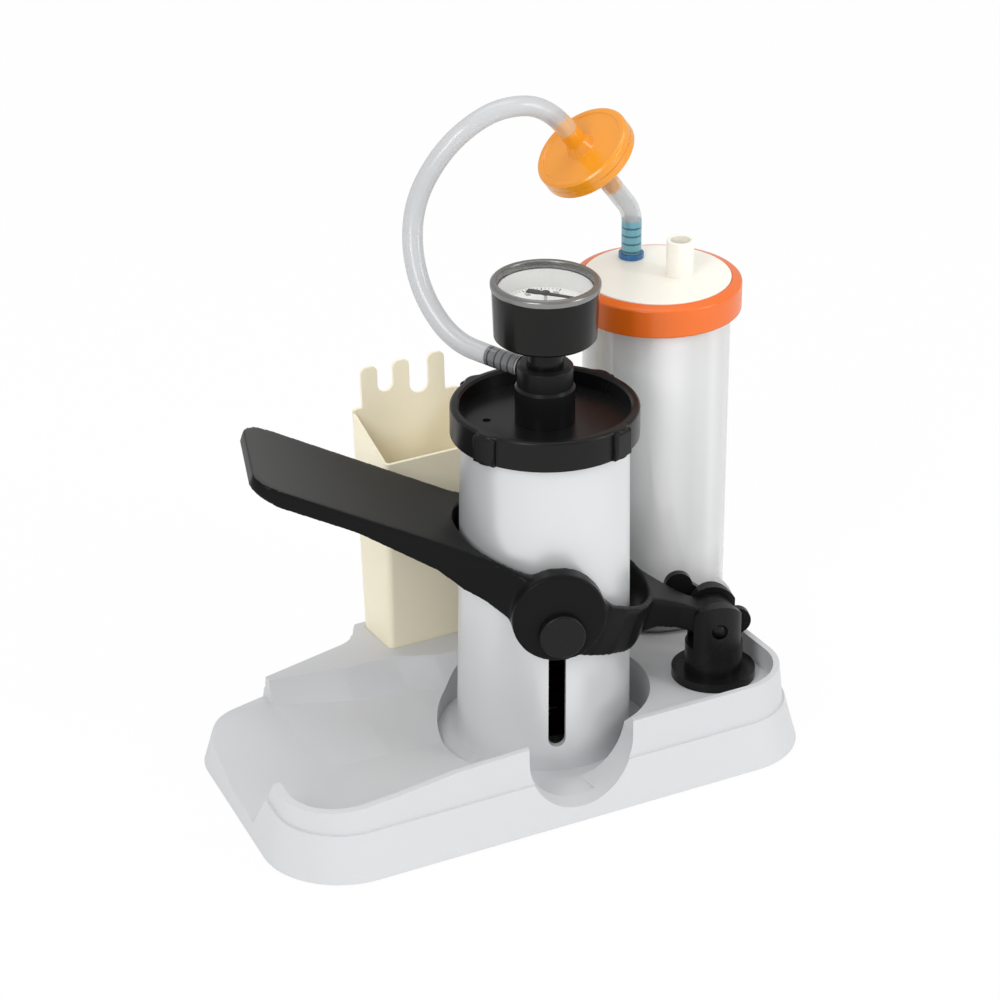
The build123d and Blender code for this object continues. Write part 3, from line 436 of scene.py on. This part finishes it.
def jar_wall():
    """Clear jar, with painted reflections; it clears towards its floor, darkened with painted shade."""
    s = Shader("jar_clear")
    height = s.axis("Z")
    waves, haze = s.noise(38.0, 2.0, 0.45, stretch=(1, 1, 0.25)), s.noise(20.0, 4.0, 0.6)
    low = 1 - height.step(CLEARING_LOW_Z, CLEARING_TOP_Z)
    floor = 1 - height.step(FLOOR_LOW_Z, FLOOR_TOP_Z)
    around = s.along(JAR_AXIS, JAR_ACROSS) * PER_JAR_RADIUS
    # Painted reflections: a wide and a narrow bright upright band, placed by the distance across the jar.
    painted_reflection = band(around, -0.02, 0.34, 0.16) * 0.8 + band(around, 0.70, 0.80, 0.08) * 0.4
    tone = s.mix(painted_reflection.clamped(), srgb(222, 223, 223), srgb(250, 250, 250))
    # Painted shade: a darker grey low down, and a dark disc on the jar's floor.
    tone = s.mix(low * haze, tone, srgb(190, 188, 184))
    tone = s.mix(floor, tone, srgb(84, 82, 79))
    alpha = floor * 0.45 - low * 0.50 + 0.86
    normal = s.bump(waves, 0.04, 0.0008)
    return s.surface(tone, low * 0.04 + haze * 0.05 + 0.10, normal, Alpha=alpha.clamped(), Coat_Weight=0.5)


# %% [markdown]
# ## Tubing
#
# Soft clear tube is cloudy, so Alpha does for it too. At one end a ringed barb, and at the other the
# filter's amber stub, sit inside the tube and tint it. Both show as bands on the tube's own surface,
# placed by the distance along the barb or the filter's axis, because the cloudy wall would hide the
# pieces inside it.

# %% Tubing
STUB_BAND = (0.0222, 0.0345)


def near_tee(s):
    return band(s.along(TEE_END, TEE_OUT), 0.0012, 0.0245) * (s.axis("Z") < 0.27)


def near_lid(s):
    return band(s.axis("Z"), LID_BARB_Z, 0.3010)


# A barb's tint, the pitch of its rings, its start and direction, and where it shows
TEE_BARB = (srgb(96, 97, 99), 0.0052, TEE_END, TEE_OUT, near_tee)
LID_BARB = (srgb(90, 166, 187), 0.0054, (0, 0, LID_BARB_Z), (0, 0, 1), near_lid)


def tubing(name, color, alpha, roughness, barb, stub_side):
    """Soft clear tube. stub_side is 1 for the hose above the filter and -1 for the one below it."""
    s = Shader(name)
    tint, pitch, start, direction, zone = barb
    waves, haze = s.noise(120.0, 2.0, 0.4), s.noise(25.0, 3.0, 0.5, seed=2.0)
    barb_zone = zone(s)
    turns = s.along(start, direction) * (2 * pi / pitch)
    rings = s.node("ShaderNodeMath", {"operation": "SINE"}, turns).step(0.55, 0.9)
    stub_zone = band(s.along(FILTER_AT, FILTER_AXIS) * stub_side, *STUB_BAND) * (s.axis("X") > 0.0)
    tone = s.mix(haze, shade(color, 0.95), shade(color, 1.03))
    tone = s.mix(stub_zone * 0.75, tone, srgb(226, 160, 66))
    tone = s.mix(barb_zone * 0.9, tone, tint)
    tone = s.mix(barb_zone * rings, tone, shade(tint, 0.35))
    opacity = barb_zone * 0.4 + stub_zone * 0.25 + alpha
    normal = s.bump(waves * 0.5 + barb_zone * rings, 0.20, 0.0006)
    return s.surface(tone, haze * 0.08 + (roughness - 0.04), normal, Alpha=opacity.clamped(), Coat_Weight=0.3)


# %% [markdown]
# ## Paper
#
# The object stands on white paper that fades into a white background. A floor of plain white would still
# turn grey with distance from the lamps, so what the camera sees is mostly a steady glow, and a small
# share of the lit paper keeps the soft shadow under the object.

# %% Paper
def floor_white():
    """Pale paper that the camera sees nearly white, and that still takes the object's shadow."""
    s = Shader("floor")
    grain = s.noise(260.0, 3.0, 0.5)
    tone = s.mix(grain, srgb(240, 240, 240), srgb(246, 246, 246))
    paper = s.node("ShaderNodeBsdfDiffuse", None, Color=tone, Normal=s.bump(grain, 0.02, 0.0002))
    glow = s.node("ShaderNodeEmission", None, Color=(1, 1, 1, 1), Strength=1.0)
    seen = s.node("ShaderNodeLightPath", out="Is Camera Ray")
    s.end(s.node("ShaderNodeMixShader", None, seen * 0.95, paper, glow))
    return s.material


# %% [markdown]
# ## Every finish of the object
#
# Colours were set by comparing renders with the photograph, and are written as screen values. The blacks
# differ in gloss: the cap and the post are satin, and the gauge's case is smoother. The spring, its seat,
# the crosshead and the rod inside the pump are a nearly matt near-black, painted shade in the pump's slot.

# %% Finishes
FINISHES = {
    "base_plastic": moulded("base_plastic", srgb(206, 207, 209), 0.42, grain=1100.0, depth=0.10, drift=0.014),
    "rubber_dark": rubber("rubber_dark"),
    "steel": turned_metal("steel", srgb(190, 190, 190), 0.32),
    "pump_silver": pump_metal(),
    "black_plastic": moulded(
        "black_plastic", BLACK, 0.29, grain=1300.0, depth=0.02, drift=0.03, scuff=0.05,
        Specular_IOR_Level=0.18,
    ),
    "black_case": moulded(
        "black_case", srgb(16, 16, 15), 0.22, grain=1800.0, depth=0.005, drift=0.03, scuff=0.02,
        Specular_IOR_Level=0.22,
    ),
    "bezel_metal": turned_metal("bezel_metal", srgb(138, 138, 136), 0.28),
    "liner_silver": moulded("liner_silver", srgb(222, 222, 220), 0.42, grain=900.0, depth=0.03),
    "glass_clear": gauge_glass((0.98, 0.99, 0.99), 0.05, alpha=0.035),
    "dial_white": moulded("dial_white", srgb(238, 238, 234), 0.5, grain=2400.0, depth=0.03, drift=0.01),
    "brass": turned_metal("brass", srgb(186, 152, 84), 0.35),
    "jar_clear": jar_wall(),
    "lid_ivory": moulded(
        "lid_ivory", srgb(247, 245, 235), 0.34, grain=1000.0, depth=0.06, drift=0.015, coat=0.2
    ),
    "ring_orange": moulded(
        "ring_orange", srgb(232, 106, 12), 0.36, grain=1200.0, depth=0.08, drift=0.04, coat=0.2
    ),
    "barb_blue": moulded(
        "barb_blue", srgb(90, 160, 182), 0.28, grain=1300.0, depth=0.05, drift=0.05, coat=0.3
    ),
    "barb_base_blue": moulded("barb_base_blue", srgb(25, 98, 150), 0.30, grain=1300.0, depth=0.05, coat=0.3),
    "filter_amber": moulded(
        "filter_amber", srgb(234, 150, 26), 0.26, grain=1000.0, depth=0.03, drift=0.05, coat=0.4
    ),
    "membrane": membrane(),
    "hose_clear": tubing("hose_clear", srgb(204, 206, 208), 0.72, 0.20, TEE_BARB, 1),
    "hose_short": tubing("hose_short", srgb(206, 210, 212), 0.45, 0.14, LID_BARB, -1),
    # Painted shade: a matt near-black for the pieces inside the pump's slot.
    "slot_dark": moulded("slot_dark", srgb(10, 10, 10), 0.8, drift=0.05, Specular_IOR_Level=0.02),
    "lever_black": lever_plastic(),
    "pointer_black": pointer_black(),
    "box_cream": moulded("box_cream", srgb(248, 240, 214), 0.40, grain=1000.0, depth=0.10, drift=0.025),
    "white_plastic": moulded(
        "white_plastic", srgb(228, 228, 226), 0.40, grain=1100.0, depth=0.08, drift=0.02
    ),
    "ink": moulded("ink", srgb(30, 30, 32), 0.55, grain=2600.0, depth=0.02, drift=0.05),
    "floor": floor_white(),
}
print("finishes:", len(FINISHES))


def paint(obj, finish):
    obj.data.materials.clear()
    obj.data.materials.append(FINISHES[finish])


# %% [markdown]
# ## CAD nodes
#
# Every CAD node keeps its mesh and its place. A real moulded or machined edge is never perfectly sharp,
# and a CAD edge that is looks like a drawing. Modelling each small radius in the solid would be slow, so
# modifiers do it here: the mesh is welded, its sharp edges are bevelled by 0.3 to 2.2 mm, and its normals
# are weighted so that flats stay flat. The yoke is one thick moulding whose arms melt into its bosses, so
# it is also remeshed finely and relaxed.

# %% Edges in millimetres, and the finish that a node shows in place of its slot's
SLOT_OF = {part["node"]: part["material_slot"] for part in frame["record"]["subparts"]}
EDGE = {
    "base_tray": 1.8, "lever_yoke": 2.2, "catheter_box": 0.8, "pivot_post": 1.0, "pump_cap": 0.9,
    "wing_nut": 1.6, "lid_ring": 0.7, "jar_lid": 0.5, "tee_body": 0.4, "gauge_case": 0.6, "gauge_bezel": 0.4,
    "pump_housing": 0.5, "filter_upper": 0.4, "filter_lower": 0.4, "gauge_stem": 0.5, "pin_caps": 0.4,
    "crosshead": 0.5, "jar": 0.3, "spring_seat": 0.4, "piston_head": 0.4, "barb_ring": 0.4, "rubber_feet": 0.4,
}
SEEN_AS = {
    "lever_yoke": "lever_black", "gauge_pointer": "pointer_black", "pivot_bolt": "black_plastic",
    # Painted shade: the pieces inside the pump's slot are made a matt near-black.
    "jar_hose": "hose_short", "return_spring": "slot_dark", "spring_seat": "slot_dark",
    "crosshead": "slot_dark", "piston_rod": "slot_dark",
}

# %% Soft edges and melted joins
WELD_DISTANCE, SHARP_DEGREES, EDGE_SEGMENTS = 0.00001, 32.0, 3
YOKE_VOXEL_MM, YOKE_ROUNDS = 1.4, 8


def soften(obj, width):
    """Smooth shading, with a rounded edge of that width in millimetres where the angle is sharp."""
    weld = obj.modifiers.new("weld", "WELD")
    weld.merge_threshold = WELD_DISTANCE
    if width:
        bevel = obj.modifiers.new("edge", "BEVEL")
        bevel.width, bevel.segments = width / 1000, EDGE_SEGMENTS
        bevel.limit_method, bevel.angle_limit = "ANGLE", radians(SHARP_DEGREES)
        bevel.use_clamp_overlap = True
    for polygon in obj.data.polygons:
        polygon.use_smooth = True
    normals = obj.modifiers.new("normals", "WEIGHTED_NORMAL")
    normals.keep_sharp = True


def mould(obj, voxel, rounds):
    """Melts the joins of a moulding into each other: a fine remesh whose faces are then relaxed."""
    obj.modifiers.remove(obj.modifiers["normals"])
    remesh = obj.modifiers.new("mould", "REMESH")
    remesh.mode, remesh.voxel_size, remesh.use_smooth_shade = "VOXEL", voxel / 1000, True
    relax = obj.modifiers.new("relax", "SMOOTH")
    relax.factor, relax.iterations = 0.5, rounds


for name, obj in frame["nodes"].items():
    paint(obj, SEEN_AS.get(name, SLOT_OF[name]))
    soften(obj, EDGE.get(name, 0))
mould(frame["nodes"]["lever_yoke"], YOKE_VOXEL_MM, YOKE_ROUNDS)
print("softened nodes:", len(frame["nodes"]), "with a rounded edge:", len(EDGE))

# %% [markdown]
# ## The vacuum hose
#
# The real hose is about 28 cm of soft tube. It leaves the tee level, springs up in one loop and comes
# down on the filter's upper stub. A swept solid would do, but a curve with a round bevel bends evenly and
# is quick to change. It is guided by the same points as the CAD's tube. The first three lie on one line,
# because the barb inside them is stiff, and the last two lie on the filter's axis.

# %% Vacuum hose
HOSE_R, HOSE_LENGTH = 0.0065, 0.279
BARB_INSIDE, STUB_END, STUB_RUN = 0.011, 0.02265, 0.024


def filter_point(distance):
    return FILTER_AT + FILTER_AXIS * distance


ROUTE = [
    TEE_END, TEE_END + TEE_OUT * BARB_INSIDE, (-0.0270, 0.0290, 0.257), (-0.050, 0.045, 0.262),
    (-0.066, 0.064, 0.283), (-0.072, 0.079, 0.310), (-0.069, 0.088, 0.337), (-0.057, 0.090, 0.362),
    (-0.039, 0.091, 0.383), (-0.013, 0.097, 0.396), filter_point(STUB_END + STUB_RUN), filter_point(STUB_END),
]


def make_hose(name, points, finish):
    data = bpy.data.curves.new(name, "CURVE")
    data.dimensions, data.resolution_u = "3D", 24
    data.bevel_depth, data.bevel_resolution, data.use_fill_caps = HOSE_R, 10, True
    spline = data.splines.new("NURBS")
    spline.points.add(len(points) - 1)
    for point, place in zip(spline.points, points):
        point.co = (*place, 1)
    spline.order_u = 3
    spline.use_endpoint_u = True
    obj = bpy.data.objects.new(name, data)
    scene.collection.objects.link(obj)
    paint(obj, finish)
    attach(obj, "base")
    return obj


vacuum_hose = make_hose("vacuum_hose_soft", ROUTE, "hose_clear")
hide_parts("vacuum_hose")
print("hose:", len(ROUTE), "points")

# %% [markdown]
# ## The gauge's print
#
# The dial is printed: a scale of 270 degrees with a tick at each fiftieth and plain numbers, read from
# the pivot post's side. On a real dial this is ink a few hundredths of a millimetre thick. A pattern in
# the dial's material would blur when it is baked. Here each tick is a thin box and each number a text
# turned into a mesh, so that the print keeps its sharp edge at any distance.

# %% A painted piece
def piece(name, bm, finish):
    """Makes a painted piece of a bmesh that is already in its place."""
    mesh = bpy.data.meshes.new(name)
    bm.to_mesh(mesh)
    bm.free()
    obj = bpy.data.objects.new(name, mesh)
    scene.collection.objects.link(obj)
    paint(obj, finish)
    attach(obj, "base")
    return obj


# %% Dial print
DIAL_TOP = max(v.co.z for v in frame["nodes"]["gauge_dial"].data.vertices)
SCALE_START, SCALE_SWEEP, TEXT_UP = radians(-30), radians(270), radians(195)
INK = 0.00006
TICKS, LONG_EVERY, TICK_R = 50, 5, 0.0268
LONG_TICK, SHORT_TICK = (0.0034, 0.0006), (0.0020, 0.0003)
NUMBERS, NUMBER_R, NUMBER_SIZE = range(0, 101, 20), 0.0198, 0.0046


def scale_angle(share):
    return SCALE_START - SCALE_SWEEP * share


def add_tick(bm, angle, length, width):
    box = bmesh.ops.create_cube(bm, size=1)["verts"]
    bmesh.ops.scale(bm, vec=(length, width, INK), verts=box)
    bmesh.ops.translate(bm, vec=(TICK_R - length / 2, 0, DIAL_TOP + INK / 2), verts=box)
    bmesh.ops.rotate(bm, cent=(0, 0, 0), matrix=Matrix.Rotation(angle, 3, "Z"), verts=box)


def add_number(bm, text, angle):
    curve = bpy.data.curves.new("number", "FONT")
    curve.body, curve.size, curve.extrude = text, NUMBER_SIZE, INK / 2
    curve.align_x, curve.align_y = "CENTER", "CENTER"
    obj = bpy.data.objects.new("number", curve)
    scene.collection.objects.link(obj)
    mesh = bpy.data.meshes.new_from_object(obj)
    place = Matrix.Translation((NUMBER_R * cos(angle), NUMBER_R * sin(angle), DIAL_TOP + INK / 2))
    mesh.transform(place @ Matrix.Rotation(TEXT_UP - pi / 2, 4, "Z"))
    bm.from_mesh(mesh)
    bpy.data.objects.remove(obj)
    bpy.data.meshes.remove(mesh)


def make_dial_print():
    bm = bmesh.new()
    for i in range(TICKS + 1):
        add_tick(bm, scale_angle(i / TICKS), *(SHORT_TICK if i % LONG_EVERY else LONG_TICK))
    for number in NUMBERS:
        add_number(bm, str(number), scale_angle(number / 100))
    return piece("dial_print", bm, "ink")


dial_print = make_dial_print()
print("dial print:", len(dial_print.data.polygons), "faces")

# %% [markdown]
# ## Grips of the pump's cap
#
# A hand unscrews the cap by four blocks moulded on its skirt. The CAD cap swells there; here each
# swelling gets the square shoulders of the moulding. Each block could be placed by hand, but one bevelled
# cube, set on the skirt and copied round with a spin, keeps them alike. Its lower edges at the skirt stay
# sharp, because they are never seen.

# %% Cap grips
CAP_SKIRT_R, GRIPS, GRIP_TURN = 0.0589, 4, radians(-47)
GRIP_OUT, GRIP_WIDTH, GRIP_DEPTH, GRIP_EDGE = 0.0032, 0.0160, 0.008, 0.0022
BELOW_RIM = 0.0012


def make_cap_grips():
    heights = [v.co.z for v in frame["nodes"]["pump_cap"].data.vertices]
    low, height = min(heights), max(heights) - min(heights) - BELOW_RIM
    bm = bmesh.new()
    block = bmesh.ops.create_cube(bm, size=1)["verts"]
    bmesh.ops.scale(bm, vec=(GRIP_DEPTH, GRIP_WIDTH, height), verts=block)
    outer = [e for e in bm.edges if all(v.co.x > 0 or v.co.z > 0 for v in e.verts)]
    bmesh.ops.bevel(bm, geom=outer, offset=GRIP_EDGE, segments=4, profile=0.5, affect="EDGES", material=-1)
    out = CAP_SKIRT_R + GRIP_OUT - GRIP_DEPTH / 2
    bmesh.ops.translate(bm, vec=(out, 0, low + height / 2), verts=bm.verts[:])
    bmesh.ops.rotate(bm, cent=(0, 0, 0), matrix=Matrix.Rotation(GRIP_TURN, 3, "Z"), verts=bm.verts[:])
    bmesh.ops.spin(
        bm, geom=bm.verts[:] + bm.edges[:] + bm.faces[:], cent=(0, 0, 0), axis=(0, 0, 1),
        angle=2 * pi * (GRIPS - 1) / GRIPS, steps=GRIPS - 1, use_duplicate=True,
    )
    for face in bm.faces:
        face.smooth = True
    return piece("cap_grips", bm, "black_plastic")


cap_grips = make_cap_grips()
cap_grips.modifiers.new("normals", "WEIGHTED_NORMAL").keep_sharp = True
print("cap grips:", len(cap_grips.data.polygons), "faces")

# %% [markdown]
# ## Floor
#
# The paper is one large flat face at the height of the feet's soles. It belongs to the picture and not to
# the object, so it is attached to none of the object's bodies.

# %% Floor
FLOOR_HALF = 6.0


def make_floor():
    bm = bmesh.new()
    bmesh.ops.create_grid(bm, x_segments=1, y_segments=1, size=FLOOR_HALF)
    mesh = bpy.data.meshes.new("floor")
    bm.to_mesh(mesh)
    bm.free()
    floor = bpy.data.objects.new("floor", mesh)
    scene.collection.objects.link(floor)
    paint(floor, "floor")


make_floor()
print("floor:", 2 * FLOOR_HALF, "metres wide")
